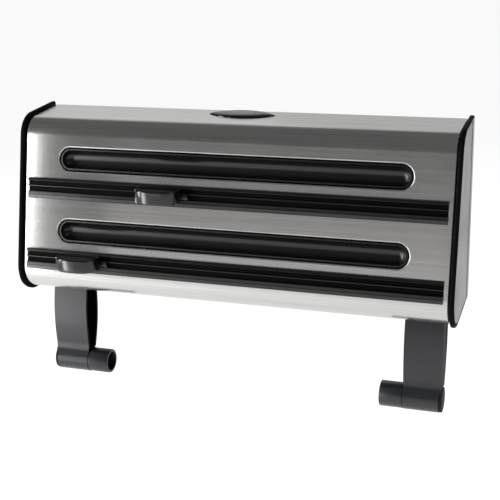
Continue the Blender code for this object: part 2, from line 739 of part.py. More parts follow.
def hub(name, side, axis, parts, mats):
    """The tube stub that the roll's core sits on, plugged into the arm, and the arm's closed end cap."""
    turn = Matrix.Rotation(-side * math.pi / 2, 4, "Y")
    shoulder = ARM_INNER - GAP
    tip = ARM_INNER + 0.0200
    profile = [(HUB_BORE_R, -HUB_INNER), (HUB_BORE_R, -shoulder + 0.002), (HUB_SPIGOT_R - 0.0018, -shoulder),
               (HUB_SPIGOT_R - 0.0018, -tip), (HUB_SPIGOT_R, -tip), (HUB_SPIGOT_R, -shoulder),
               (HUB_STUB_R, -shoulder), (HUB_STUB_R, -HUB_INNER - 0.0006), (HUB_STUB_R - 0.0006, -HUB_INNER)]
    ring(f"{name}_hub", profile[::-1], (0.0, axis.y, axis.z), turn, parts, mats["dark"])
    cap = []
    for i in range(6):
        rise = math.pi / 2 * i / 5
        cap.append((CAP_R * math.sin(rise), ARM_OUTER + 0.0010 - 0.0008 * (1 - math.cos(rise))))
    cap += [(CAP_R, ARM_OUTER - CAP_THICK), (0.0, ARM_OUTER - CAP_THICK)]
    turned(f"{name}_hub_cap", cap, (0.0, axis.y, axis.z), Matrix.Rotation(side * math.pi / 2, 4, "Y"), parts,
           mats["dark"], 32)


def ring(name, profile, place, turn, col, mat, steps=32):
    """A closed profile of (radius, height) spun about local z."""
    mesh = bpy.data.meshes.new(name)
    bm = bmesh.new()
    verts = [bm.verts.new((r, 0.0, h)) for r, h in profile]
    for i, vert in enumerate(verts):
        bm.edges.new((vert, verts[(i + 1) % len(verts)]))
    bm.to_mesh(mesh)
    bm.free()
    obj = put(name, mesh, col, mat)
    obj.matrix_world = Matrix.Translation(place) @ turn
    screw = obj.modifiers.new("Turn", "SCREW")
    screw.angle = 2 * math.pi
    screw.steps = steps
    screw.render_steps = steps
    screw.use_merge_vertices = True
    screw.merge_threshold = 0.00001
    smooth(obj)
    return obj


def arm_pin_and_spring(name, side, pivot, parts, mats):
    start = (pivot[0], BRACKET_FRONT - 0.0008, pivot[1])
    end = (pivot[0], BRACKET_BACK + 0.0008, pivot[1])
    pin = rod(f"{name}_arm_pin", ARM_PIN_R, start, end, parts, mats["steel"])
    bevel(pin, 0.0003, 1)
    place = (pivot[0], (ARM_FRONT[0][0] + ARM_BACK[-1][0]) / 2, pivot[1])
    coil(f"{name}_arm_spring", 0.0034, 0.0004, 0.0012, 4, place, Y_TURN, parts, mats["steel"])


def main():
    clear_scene()
    parts = new_collection("film_dispenser")
    tools = new_collection("cutters", hidden=True)
    mats = {
        "black": make_material("black_plastic", BLACK, 0.42),
        "dark": make_material("dark_grey_plastic", DARK, 0.48),
        "gloss": make_material("gloss_black_plastic", BLACK, 0.15),
        "steel": make_material("brushed_steel", STEEL, 0.30, 1.0),
        "silver": make_material("silver_inlay", SILVER, 0.40, 0.6),
    }
    cheeks(parts, tools, mats)
    back_plate(parts, tools, mats)
    bottom_plate(parts, tools, mats)
    trays(parts, mats)
    arm_brackets(parts, tools, mats)
    hinge_pins(parts, mats)
    cover_skin(parts, tools, mats)
    cover_ends(parts, tools, mats)
    troughs(parts, tools, mats)
    rails(parts, mats)
    cutters(parts, tools, mats)
    latch(parts, mats)
    latch_strike(parts, mats)
    arms(parts, tools, mats)


main()
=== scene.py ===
"""Looks of the wall dispenser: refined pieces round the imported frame, materials, studio and camera."""

import math

import bmesh
import bpy
from mathutils import Matrix, Vector


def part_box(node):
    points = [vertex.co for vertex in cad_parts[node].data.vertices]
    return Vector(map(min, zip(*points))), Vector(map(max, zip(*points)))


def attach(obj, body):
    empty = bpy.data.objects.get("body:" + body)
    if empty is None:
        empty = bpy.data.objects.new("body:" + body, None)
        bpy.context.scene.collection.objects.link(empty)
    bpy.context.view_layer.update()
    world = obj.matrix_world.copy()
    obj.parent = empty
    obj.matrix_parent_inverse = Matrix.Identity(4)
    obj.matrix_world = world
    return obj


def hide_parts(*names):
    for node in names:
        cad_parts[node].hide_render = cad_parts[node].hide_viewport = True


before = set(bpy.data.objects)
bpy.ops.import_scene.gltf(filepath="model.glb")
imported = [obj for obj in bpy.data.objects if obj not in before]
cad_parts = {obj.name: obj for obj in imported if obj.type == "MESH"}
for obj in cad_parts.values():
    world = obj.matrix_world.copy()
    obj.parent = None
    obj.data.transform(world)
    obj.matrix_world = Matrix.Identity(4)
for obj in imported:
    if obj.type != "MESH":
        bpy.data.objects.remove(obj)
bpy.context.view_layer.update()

# ---------------------------------------------------------------- driving sizes, in metres

# Housing outline, (y, height over the cheeks' lower back corner)
RISE = 0.078
CORNERS = ((0.0, 0.1559), (-0.0574, 0.1520), (-0.09135, -0.0069), (0.0, 0.0))
ROUNDS = (0.0020, 0.0210, 0.0245, 0.0020)
RIM_PROUD = 0.00294
INLAY_BORDERS = (0.0020, 0.0026, 0.0034, 0.0125)
INLAY_ROUNDS = (0.003, 0.0185, 0.0215, 0.003)
SHEET = 0.0008
FRONT_RUN = Vector((0.0, CORNERS[1][0] - CORNERS[2][0], CORNERS[1][1] - CORNERS[2][1])).normalized()
FRONT_OUT = Vector((0.0, -FRONT_RUN.z, FRONT_RUN.y))
TOP_RUN = Vector((0.0, CORNERS[0][0] - CORNERS[1][0], CORNERS[0][1] - CORNERS[1][1])).normalized()
TOP_OUT = Vector((0.0, -TOP_RUN.z, TOP_RUN.y))

SLOT_HALF = 0.1549
SLOT_TALL = 0.0207
LIP_ROUND = 0.0008
LIP_DEEP = -0.0026
LIP_OVERLAP = 0.00001
SHEET_EDGE = 0.00032
COVER_END_Y = -0.0665
THROUGH = 0.01
SLOT_HEIGHTS = {"upper": 0.1164, "lower": 0.05535}
RAIL_TALL = 0.0179
RAIL_FLOOR = 0.0014
# How far over a rail groove's floor the painted shade reaches
SHADE_REACH = 0.0001
RAIL_HEIGHTS = {"upper": 0.0907, "lower": 0.02978}
TROUGH_SLIT = 0.0012
TROUGH_SET_BACK = 0.0010
TROUGH_RADIUS = 0.0079
TROUGH_DEEP = 0.0104
TROUGH_BAR_HALF = 0.0060
TROUGH_BAR_DEPTHS = (-0.0056, -0.0032)
POLE_R = 0.00001
KNOB_HALF = 0.0195
KNOB_DEEP = 0.0160
KNOB_FACE = 0.0059
KNOB_TALL = 0.0116
KNOB_LIFT = 0.0010
KNOB_POWER = 2.8
KNOB_STEPS = 64
KNOB_CLEAR = 0.0002
# Rises over the knob's foot and under its top, each with how far the outline moves in
KNOB_FOOT = ((0.0004, 0.0022), (0.0, 0.0012), (0.0002, 0.0005), (0.0009, 0.0001), (0.0016, 0.0))
KNOB_TOP = ((-0.0010, 0.0), (-0.0004, 0.00015), (0.0, 0.0006), (0.0, 0.0010), (-0.0003, 0.0015),
            (-0.0008, 0.0018), (-0.0010, 0.0026), (-0.0010, 0.0100))
CARRIAGE = ((-0.0024, 0.0026), (0.0012, 0.0026), (0.0012, 0.0036), (0.0027, 0.0036), (0.0027, 0.0056),
            (-0.0010, 0.0056), (-0.0010, 0.0040), (-0.0024, 0.0040))
LATCH = {"x": -0.0020, "y": -0.0150, "half": 0.0290, "deep": 0.0240, "tip": 0.0028}
LATCH_PLAY = 0.0005
LATCH_FOOT = ((0.97, -0.0030), (1.0, -0.0027), (1.0, -0.0002))
LATCH_DOME = 0.0024
LATCH_DOME_POWER = 0.6

CHEEK_BACK_EDGE = 0.0005
# How far each ring lies under the cheek's outer face, and how far it is moved in
CHEEK_RIM = ((0.0014, 0.0), (0.0009, 0.0001), (0.0005, 0.0003), (0.0002, 0.0006), (0.0, 0.0011))
INLAY_EDGE = ((0.0, -0.0003), (0.0001, -0.0001), (0.0003, 0.0))
INLAY_SUNK = 0.0010
INLAY_GAP = 0.0003
SMALLEST_ROUND = 0.0003

HUB_DROP = -0.0786
HUB_Y = -0.0434
HUB_Z = HUB_DROP - RISE
HUB_R = 0.0113
HUB_AXIS = Matrix.Translation((0.0, HUB_Y, HUB_Z)) @ Matrix.Rotation(math.pi / 2, 4, "Y")
HUB_STUB_R = 0.0110
HUB_BORE_R = 0.0086
HUB_INNER = 0.1272
HUB_SHOULDER = 0.1471
HUB_TIP = 0.1672
HUB_SPIGOT_R = 0.0080
HUB_SPIGOT_BORE = 0.0062
CAP_R = 0.0109
CAP_DEEP = 0.0028
CAP_DOME = 0.0008

ARM_WALL = 0.0026
ARM_CAP_SEAT = 0.0021
ARM_TUBE_WEB = 0.0060
ARM_TUBE_BORE_R = 0.0083
ARM_SLOT_DEEP = 0.0016
ARM_MIDDLE = -0.0370
ARM_SLOT = ((-0.0330, -0.1160), (-0.0285, -0.1160), (-0.0285, -0.0920), (-0.0330, -0.0920))
ARM_CLIP = (-0.1090, -0.1040)
ARM_FRONT = ((-0.0388, 0.0165), (-0.0456, -0.0100), (-0.0488, -0.0260), (-0.0500, -0.0420),
             (-0.0496, -0.0560), (-0.0487, -0.0680))
ARM_BACK = ((-0.0345, -0.0680), (-0.0300, -0.0550), (-0.0265, -0.0400), (-0.0249, -0.0240),
            (-0.0250, -0.0080), (-0.0266, 0.0165))
ARM_FILLET = ((-0.0491, -0.0620), (-0.0497, -0.0672), (-0.0519, -0.0709))
TUBE_INSIDE = (-0.0470, -0.0760)
CHANNEL_TOP = 0.03
CHANNEL_FLOOR = (-0.0462, -0.0366)

SIDES = ((-1, "left"), (1, "right"))


# ---------------------------------------------------------------- places

def front_matrix(height):
    """Local x across, y up along the front, z out of it, at the steel's face."""
    start = Vector((0.0, CORNERS[2][0], CORNERS[2][1] - RISE)) - FRONT_OUT * RIM_PROUD
    place = start + FRONT_RUN * ((height - RISE - start.z) / FRONT_RUN.z)
    turn = Matrix((Vector((1.0, 0.0, 0.0)), FRONT_RUN, FRONT_OUT)).transposed().to_4x4()
    return Matrix.Translation((0.0, place.y, place.z)) @ turn


def rail_matrix(height):
    """Local x up along the front, y out of it, z along the rail."""
    place = front_matrix(height).translation
    turn = Matrix((FRONT_RUN, FRONT_OUT, Vector((1.0, 0.0, 0.0)))).transposed().to_4x4()
    return Matrix.Translation((0.0, place.y, place.z)) @ turn


def top_matrix(x, y):
    """Local x across, y backwards along the top, z out of it, at the steel's face."""
    start = Vector((0.0, CORNERS[0][0], CORNERS[0][1] - RISE)) - TOP_OUT * RIM_PROUD
    place = start + TOP_RUN * ((y - start.y) / TOP_RUN.y)
    turn = Matrix((Vector((1.0, 0.0, 0.0)), TOP_RUN, TOP_OUT)).transposed().to_4x4()
    return Matrix.Translation((x, place.y, place.z)) @ turn


# Turns an outline in (y, height) with its thickness along z into the object's frame
SIDE = Matrix(((0.0, 0.0, 1.0, 0.0), (1.0, 0.0, 0.0, 0.0), (0.0, 1.0, 0.0, -RISE), (0.0, 0.0, 0.0, 1.0)))


# ---------------------------------------------------------------- outlines

def crossing(p, d, q, e):
    """Where the line from p along d meets the line from q along e."""
    t = ((q.x - p.x) * e.y - (q.y - p.y) * e.x) / (d.x * e.y - d.y * e.x)
    return p + d * t


def moved_corners(depths):
    """The outline's four corners with its top, front, bottom and back moved inwards."""
    corners = [Vector(c) for c in CORNERS]
    lines = []
    for i, start in enumerate(corners):
        run = (corners[(i + 1) % 4] - start).normalized()
        lines.append((start + Vector((-run.y, run.x)) * depths[i], run))
    return [crossing(*lines[i - 1], *lines[i]) for i in range(4)]


def rounded(before, corner, after, radius, steps):
    """The arc that rounds a corner between its two neighbours."""
    a, b = (before - corner).normalized(), (after - corner).normalized()
    half = a.angle(b) / 2
    centre = corner + (a + b).normalized() * (radius / math.sin(half))
    first = corner + a * (radius / math.tan(half)) - centre
    last = corner + b * (radius / math.tan(half)) - centre
    sweep = math.copysign(first.angle(last), first.x * last.y - first.y * last.x)
    points = []
    for i in range(steps + 1):
        c, s = math.cos(sweep * i / steps), math.sin(sweep * i / steps)
        points.append(centre + Vector((first.x * c - first.y * s, first.x * s + first.y * c)))
    return points


def housing_loop(depths, radii, steps=(4, 22, 22, 4)):
    """The housing's outline with each side moved in by its depth."""
    corners = moved_corners(depths)
    loop = []
    for i in range(4):
        loop += rounded(corners[i - 1], corners[i], corners[(i + 1) % 4], radii[i], steps[i])
    return loop


def cover_line(depth, back_y, low_y, steps=22):
    """The open line of the cover at a depth, from the top's back edge to partway round the bottom."""
    c = moved_corners([depth] * 4)
    top = (c[0] - c[1]).normalized()
    line = [c[1] + top * ((back_y - c[1].x) / top.x)]
    line += rounded(c[0], c[1], c[2], ROUNDS[1] - depth, steps)
    arc = rounded(c[1], c[2], c[3], ROUNDS[2] - depth, steps)
    kept = [p for p in arc if p.x < low_y]
    after = arc[len(kept)]
    return line + kept + [kept[-1].lerp(after, (low_y - kept[-1].x) / (after.x - kept[-1].x))]


def stadium(half_length, half_height, steps=40):
    """A slot's outline: two straight sides and two half circles."""
    run = half_length - half_height
    loop = []
    for side, start in ((1, -math.pi / 2), (-1, math.pi / 2)):
        for i in range(steps + 1):
            turn = start + math.pi * i / steps
            loop.append(Vector((side * run + half_height * math.cos(turn), half_height * math.sin(turn))))
    return loop


def lens(half_length, depth, tip, steps=26):
    """Two flat arcs that meet in small round tips."""
    run, half = half_length - tip, depth / 2 - tip
    radius = (run ** 2 + half ** 2) / (2 * half)
    reach = math.asin(run / radius)
    loop = []
    for side in (1, -1):
        for i in range(steps + 1):
            turn = reach - 2 * reach * i / steps
            out = radius + tip
            loop.append(Vector((side * out * math.sin(turn), side * (out * math.cos(turn) - radius + half))))
        for i in range(1, 8):
            turn = reach + (math.pi - 2 * reach) * i / 8
            loop.append(Vector((-side * (run + tip * math.sin(turn)), side * tip * math.cos(turn))))
    return loop


def curve_through(points, steps=6):
    """A smooth line through points (Catmull-Rom)."""
    p = [Vector(q) for q in points]
    p = [p[0] * 2 - p[1], *p, p[-1] * 2 - p[-2]]
    line = []
    for i in range(1, len(p) - 2):
        for k in range(steps):
            t = k / steps
            a, b, c, d = p[i - 1], p[i], p[i + 1], p[i + 2]
            line.append(0.5 * (2 * b + (c - a) * t + (2 * a - 5 * b + 4 * c - d) * t ** 2
                               + (3 * b - a - 3 * c + d) * t ** 3))
    line.append(p[-2])
    return line


# ---------------------------------------------------------------- making pieces

def piece_from(name, bm):
    """A new object from a mesh in the making, its faces turned outwards."""
    bmesh.ops.recalc_face_normals(bm, faces=bm.faces)
    mesh = bpy.data.meshes.new(name)
    bm.to_mesh(mesh)
    bm.free()
    obj = bpy.data.objects.new(name, mesh)
    bpy.context.scene.collection.objects.link(obj)
    return obj


def prism(name, loop, low, high, matrix):
    """A flat outline, extruded along the matrix's z."""
    bm = bmesh.new()
    face = bm.faces.new([bm.verts.new((p[0], p[1], low)) for p in loop])
    out = bmesh.ops.extrude_face_region(bm, geom=[face])["geom"]
    moved = [g for g in out if isinstance(g, bmesh.types.BMVert)]
    bmesh.ops.translate(bm, verts=moved, vec=(0, 0, high - low))
    bm.transform(matrix)
    return piece_from(name, bm)


def side_prism(name, loop, x_low, x_high):
    """An outline seen from the side, extruded across the object."""
    return prism(name, loop, x_low, x_high, SIDE)


def block(name, low, high, matrix=Matrix()):
    """A plain box between two corners."""
    corners = ((low[0], low[1]), (high[0], low[1]), (high[0], high[1]), (low[0], high[1]))
    loop = [Vector(p) for p in corners]
    return prism(name, loop, low[2], high[2], matrix)


def loft(name, rings, matrix=Matrix(), closed=False):
    """Closed rings of the same count of points, joined and capped, or joined to the first when closed."""
    bm = bmesh.new()
    rows = [[bm.verts.new(p) for p in ring] for ring in rings]
    count = len(rows[0])
    pairs = list(zip(rows, rows[1:])) + ([(rows[-1], rows[0])] if closed else [])
    for a, b in pairs:
        for i in range(count):
            j = (i + 1) % count
            bm.faces.new((a[i], a[j], b[j], b[i]))
    if not closed:
        bm.faces.new(rows[0][::-1])
        bm.faces.new(rows[-1])
    bm.transform(matrix)
    return piece_from(name, bm)


def spun(name, profile, matrix, steps=64, closed=False):
    """A profile of (radius, height) turned about the matrix's z."""
    rings = []
    for r, h in profile:
        rings.append([(r * math.cos(2 * math.pi * i / steps), r * math.sin(2 * math.pi * i / steps), h)
                      for i in range(steps)])
    return loft(name, rings, matrix, closed)


def settle(obj):
    """Applies the piece's modifiers."""
    bpy.context.view_layer.update()
    mesh = bpy.data.meshes.new_from_object(obj.evaluated_get(bpy.context.evaluated_depsgraph_get()))
    obj.modifiers.clear()
    old = obj.data
    obj.data = mesh
    mesh.name = obj.name
    bpy.data.meshes.remove(old)
    return obj


def cut(obj, tool, operation="DIFFERENCE"):
    """Takes the tool's shape out of the piece, or joins it on, and removes the tool."""
    mod = obj.modifiers.new("cut", "BOOLEAN")
    mod.operation = operation
    mod.object = tool
    settle(obj)
    bpy.data.objects.remove(tool)


def soften(obj, width, segments, angle):
    """Rounds the edges sharper than an angle in degrees, and keeps flat faces flat in the shading."""
    mod = obj.modifiers.new("round", "BEVEL")
    mod.width = width
    mod.segments = segments
    mod.limit_method = "ANGLE"
    mod.angle_limit = math.radians(angle)
    mod.miter_outer = "MITER_ARC"
    settle(obj)
    return keep_flats(obj)


def keep_flats(obj):
    """Smooth shading, weighted so that large faces stay flat."""
    obj.data.shade_smooth()
    obj.modifiers.new("flats", "WEIGHTED_NORMAL").keep_sharp = True
    return settle(obj)


def mirrored(obj, name):
    """The same piece on the other side of the object."""
    bm = bmesh.new()
    bm.from_mesh(obj.data)
    bmesh.ops.scale(bm, vec=(-1.0, 1.0, 1.0), verts=bm.verts)
    return keep_flats(piece_from(name, bm))


def smooth(obj, angle):
    """Smooth shading, with sharp edges past an angle in degrees."""
    obj.data.shade_smooth()
    obj.data.set_sharp_from_angle(angle=math.radians(angle))


def finish_piece(obj, body, material, slot, *nodes):
    """Gives a piece its material and the body it rides on, and hides the nodes it stands in for; slot is not
    used.
    """
    obj.data.materials.clear()
    obj.data.materials.append(material)
    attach(obj, body)
    if nodes:
        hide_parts(*nodes)


# ---------------------------------------------------------------- materials

class Nodes:
    """A material's node tree, with short calls to add and join nodes."""

    def __init__(self, name):
        self.material = bpy.data.materials.new(name)
        self.material.use_nodes = True
        self.tree = self.material.node_tree
        self.shader = self.tree.nodes["Principled BSDF"]

    def add(self, kind, **values):
        node = self.tree.nodes.new("ShaderNode" + kind)
        for key, value in values.items():
            if key in node.inputs:
                node.inputs[key].default_value = value
            else:
                setattr(node, key, value)
        return node

    def join(self, source, target):
        self.tree.links.new(source, target)

    def place(self, scale):
        """Object coordinates, which are the part's own frame, stretched by scale."""
        coords = self.add("TexCoord")
        mapping = self.add("Mapping")
        mapping.inputs["Scale"].default_value = scale
        self.join(coords.outputs["Object"], mapping.inputs["Vector"])
        return mapping.outputs["Vector"]

    def noise(self, scale, detail=3.0, rough=0.5):
        node = self.add("TexNoise", Scale=1.0, Detail=detail, Roughness=rough)
        self.join(self.place(scale), node.inputs["Vector"])
        return node.outputs["Fac"]

    def spread(self, source, low, high):
        """Maps the middle of a noise to a range of values."""
        node = self.add("MapRange")
        node.inputs["From Min"].default_value = 0.3
        node.inputs["From Max"].default_value = 0.7
        node.inputs["To Min"].default_value = low
        node.inputs["To Max"].default_value = high
        self.join(source, node.inputs["Value"])
        return node.outputs["Result"]

    def blend(self, factor, first, second):
        """A colour between two, by a factor. A colour mix has its own sockets after the plain ones."""
        node = self.add("Mix", data_type="RGBA")
        node.inputs[6].default_value = (*first, 1.0)
        node.inputs[7].default_value = (*second, 1.0)
        self.join(factor, node.inputs[0])
        return node.outputs[2]

    def bump(self, source, strength, distance):
        node = self.add("Bump", Strength=strength, Distance=distance)
        self.join(source, node.inputs["Height"])
        return node.outputs["Normal"]

    def set(self, **values):
        """Sets or joins the shader's inputs and gives the finished material."""
        for key, value in values.items():
            socket = self.shader.inputs[key.replace("_", " ")]
            if isinstance(value, bpy.types.NodeSocket):
                self.join(value, socket)
            else:
                socket.default_value = value
        return self.material


def brushed_steel(name, colour, rough_low, rough_high, stretch=1.0):
    """Sheet steel brushed along X: long fine scratches, broader bands, and faint handling marks.

    stretch is how far a reflection is drawn out across the scratches, from 0 to 1.
    """
    n = Nodes(name)
    fine = n.noise((9.0, 2600.0, 2600.0), 3.0)
    bands = n.noise((7.0, 560.0, 560.0), 3.0)
    marks = n.noise((16.0, 26.0, 26.0), 4.0, 0.6)
    lighter = [c * 1.16 for c in colour]
    darker = [c * 0.84 for c in colour]
    tone = n.add("Math", operation="MULTIPLY_ADD")
    n.join(fine, tone.inputs[0])
    tone.inputs[1].default_value = 0.5
    n.join(n.spread(bands, 0.0, 0.5), tone.inputs[2])
    tangent = n.add("Tangent", direction_type="RADIAL", axis="X")
    n.join(tangent.outputs["Tangent"], n.shader.inputs["Tangent"])
    return n.set(Base_Color=n.blend(tone.outputs[0], darker, lighter), Metallic=1.0,
                 Roughness=n.spread(marks, rough_low, rough_high), Anisotropic=stretch,
                 Normal=n.bump(bands, 0.03, 0.00002))


def moulded_plastic(name, colour, rough_low, rough_high, grain=0.00001, specular=0.5):
    """Moulded plastic: fine spark-eroded grain, slow flow variation, and patches polished by handling."""
    n = Nodes(name)
    fine = n.noise((2600.0, 2600.0, 2600.0), 2.0)
    flow = n.noise((14.0, 22.0, 22.0), 3.0)
    worn = n.noise((55.0, 55.0, 55.0), 4.0, 0.65)
    lighter = [c * 1.25 for c in colour]
    darker = [c * 0.85 for c in colour]
    return n.set(Base_Color=n.blend(flow, darker, lighter), Roughness=n.spread(worn, rough_low, rough_high),
                 Specular_IOR_Level=specular, Normal=n.bump(fine, 0.2, grain))


def drawn_wire(name):
    """Drawn steel for pins, springs and blades."""
    n = Nodes(name)
    lines = n.noise((1500.0, 1500.0, 1500.0), 3.0)
    return n.set(Base_Color=n.blend(lines, (0.36, 0.36, 0.37), (0.58, 0.58, 0.58)), Metallic=1.0,
                 Roughness=n.spread(lines, 0.22, 0.42), Normal=n.bump(lines, 0.1, 0.00003))


def silver_film(name):
    """The cheek's inlay: a satin silver face with a faint vertical grain."""
    n = Nodes(name)
    grain = n.noise((900.0, 900.0, 40.0), 3.0)
    cloud = n.noise((30.0, 30.0, 30.0), 3.0)
    return n.set(Base_Color=n.blend(grain, (0.165, 0.167, 0.17), (0.215, 0.217, 0.22)), Metallic=0.75,
                 Roughness=n.spread(cloud, 0.34, 0.44), Normal=n.bump(grain, 0.08, 0.00005))


STEEL = brushed_steel("brushed_sheet", (0.525, 0.52, 0.507), 0.150, 0.165)
EDGE_STEEL = brushed_steel("rolled_edge", (0.48, 0.475, 0.465), 0.30, 0.36, 0.0)
BLACK = moulded_plastic("black_satin", (0.005, 0.005, 0.0055), 0.26, 0.36, specular=0.20)
CHEEK = moulded_plastic("black_cheek", (0.004, 0.004, 0.0045), 0.18, 0.26, specular=0.35)
CHEEK_FACE = moulded_plastic("black_cheek_face", (0.004, 0.004, 0.0045), 0.45, 0.55, specular=0.02)
RAIL = moulded_plastic("black_rail", (0.003, 0.003, 0.003), 0.18, 0.24, 0.000004, specular=0.62)
# Painted shade: a darker, matt black for the floors of the rails' grooves and the arms' hollows, where shade
# falls
SHADE_BLACK = moulded_plastic("painted_shade_black", (0.0015, 0.0015, 0.0015), 0.50, 0.60, specular=0.04)
TROUGH = moulded_plastic("black_trough", (0.004, 0.004, 0.0045), 0.25, 0.28, 0.000004, specular=0.50)
GLOSS = moulded_plastic("black_gloss", (0.004, 0.004, 0.005), 0.06, 0.14, 0.00001, specular=0.4)
GREY = moulded_plastic("grey_satin", (0.018, 0.019, 0.022), 0.28, 0.34, 0.000006, specular=0.44)
# Painted shade: a matt grey, a little darker than the arms' grey, for their outer sides and end caps
SHADED_GREY_SIDE = moulded_plastic("shaded_grey_matt", (0.016, 0.016, 0.018), 0.50, 0.60, 0.00002, specular=0.05)
KNOB = moulded_plastic("knob_satin", (0.003, 0.003, 0.0033), 0.16, 0.19, 0.000002, specular=0.62)
WIRE = drawn_wire("drawn_steel")
SILVER = silver_film("silver_inlay")


# ---------------------------------------------------------------- the cover

def skin():
    """The bent sheet, with rolled edges at its slots and a hole for the button."""
    low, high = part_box("cover_skin")
    outside = cover_line(RIM_PROUD, high.y, COVER_END_Y)
    inside = cover_line(RIM_PROUD + SHEET, high.y, COVER_END_Y)
    loop = outside + inside[::-1]
    sheet = side_prism("cover_sheet", loop, low.x, high.x)
    for height in SLOT_HEIGHTS.values():
        reach = LIP_ROUND - LIP_OVERLAP
        hole = stadium(SLOT_HALF + reach, SLOT_TALL / 2 + reach)
        cut(sheet, prism("hole", hole, -THROUGH, THROUGH, front_matrix(height)))
    outline = lens(LATCH["half"] + LATCH_PLAY, LATCH["deep"] + 2 * LATCH_PLAY, LATCH["tip"] + LATCH_PLAY)
    cut(sheet, prism("latch_hole", outline, -THROUGH / 2, THROUGH / 2, top_matrix(LATCH["x"], LATCH["y"])))
    soften(sheet, SHEET_EDGE, 3, 50.0)
    finish_piece(sheet, "cover", STEEL, "brushed_steel", "cover_skin")
    for name, height in SLOT_HEIGHTS.items():
        slot_lip(name, height)


def slot_lip(name, height):
    """The sheet's edge, rolled inwards round a slot."""
    section = []
    for i in range(7):
        turn = math.pi / 2 * i / 6
        section.append((LIP_ROUND * (1 - math.sin(turn)), -LIP_ROUND * (1 - math.cos(turn))))
    section += [(0.0, LIP_DEEP), (SHEET, LIP_DEEP), (LIP_ROUND, -LIP_ROUND)]
    rings = []
    for out, depth in section:
        rings.append([(p.x, p.y, depth) for p in stadium(SLOT_HALF + out, SLOT_TALL / 2 + out)])
    lip = loft(f"{name}_slot_lip", rings, front_matrix(height), closed=True)
    smooth(lip, 50.0)
    finish_piece(lip, "cover", EDGE_STEEL, "brushed_steel")


def troughs():
    """The hollowed inserts behind the slots, each with a raised rim."""
    for name, height in SLOT_HEIGHTS.items():
        place = front_matrix(height)
        half, tall = SLOT_HALF - TROUGH_SLIT, SLOT_TALL / 2 - TROUGH_SLIT
        body = prism(f"{name}_trough_insert", stadium(half, tall), -TROUGH_DEEP, -TROUGH_SET_BACK, place)
        low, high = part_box(f"{name}_trough")
        back, front = TROUGH_BAR_DEPTHS
        bar = block("bar", (low.x, -TROUGH_BAR_HALF, back), (high.x, TROUGH_BAR_HALF, front), place)
        cut(body, bar, operation="UNION")
        run = SLOT_HALF - SLOT_TALL / 2
        profile = [(POLE_R, run + TROUGH_RADIUS)]
        for i in range(1, 19):
            turn = math.pi / 2 * i / 18
            profile.append((TROUGH_RADIUS * math.sin(turn), run + TROUGH_RADIUS * math.cos(turn)))
        profile += [(r, -h) for r, h in profile[::-1]]
        axis = place @ Matrix.Translation((0.0, 0.0, -TROUGH_SET_BACK)) @ Matrix.Rotation(math.pi / 2, 4, "Y")
        cut(body, spun("hollow", profile, axis, 72))
        soften(body, 0.00035, 3, 40.0)
        finish_piece(body, "cover", TROUGH, "black_plastic", f"{name}_trough")


def rail_outline():
    """From the lower edge up: a flat band, a shallow groove, and three ridges with two deeper grooves."""
    half = RAIL_TALL / 2
    return [Vector(p) for p in (
        (-half, 0.0003), (-half, 0.0020), (-half + 0.0004, 0.0024), (-0.0059, 0.0029), (-0.0056, 0.0026),
        (-0.0056, 0.0025), (-0.0039, 0.0025), (-0.0038, 0.0028), (-0.0035, 0.0031), (-0.0030, 0.0031),
        (-0.0028, 0.0028), (-0.0028, 0.0009), (0.0016, 0.0009), (0.0016, 0.0028), (0.0019, 0.0031),
        (0.0024, 0.0031), (0.0028, 0.0028), (0.0028, RAIL_FLOOR), (0.0065, RAIL_FLOOR), (0.0065, 0.0030),
        (0.0069, 0.0034), (half - 0.0006, 0.0032), (half, 0.0027), (half, 0.0003))]


def rails():
    """Ridged mouldings, with painted shade as a darker, matt black in the depth of their grooves."""
    for name, height in RAIL_HEIGHTS.items():
        low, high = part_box(f"{name}_rail")
        place = rail_matrix(height)
        rail = prism(f"{name}_rail_moulding", rail_outline(), low.x, high.x, place)
        soften(rail, 0.00018, 2, 30.0)
        finish_piece(rail, "cover", RAIL, "black_plastic", f"{name}_rail")
        rail.data.materials.append(SHADE_BLACK)
        away = place.inverted()
        for face in rail.data.polygons:
            heights = [(away @ rail.data.vertices[v].co).y for v in face.vertices]
            # Faces that stay low in the grooves get the painted shade black
            face.material_index = int(max(heights) < RAIL_FLOOR + SHADE_REACH)


def latch_button():
    """A low dome on a lens-shaped foot."""
    place = top_matrix(LATCH["x"], LATCH["y"])
    rings = []
    base = lens(LATCH["half"], LATCH["deep"], LATCH["tip"])
    for scale, height in LATCH_FOOT:
        rings.append([(p.x * scale, p.y * scale, height) for p in base])
    for i in range(1, 12):
        turn = math.pi / 2 * i / 12
        scale, height = math.cos(turn) ** LATCH_DOME_POWER, LATCH_DOME * math.sin(turn)
        rings.append([(p.x * scale, p.y * scale, height) for p in base])
    button = loft("latch_button_dome", rings, place)
    smooth(button, 50.0)
    finish_piece(button, "latch", GLOSS, "gloss_black_plastic", "latch_button")


def knob_ring(height, inset, front, back):
    """The knob's D outline at a height, moved in by inset, with its back on the slope of the front."""
    half = KNOB_HALF - inset
    ring = [(half, back, height)]
    for i in range(KNOB_STEPS + 1):
        turn = math.pi * i / KNOB_STEPS
        c, s = math.cos(turn), math.sin(turn)
        y = front - (KNOB_DEEP - inset) * abs(s) ** (2 / KNOB_POWER)
        x = half * math.copysign(abs(c) ** (2 / KNOB_POWER), c)
        ring.append((x, min(y, back - KNOB_CLEAR), height))
    ring.append((-half, back, height))
    return ring


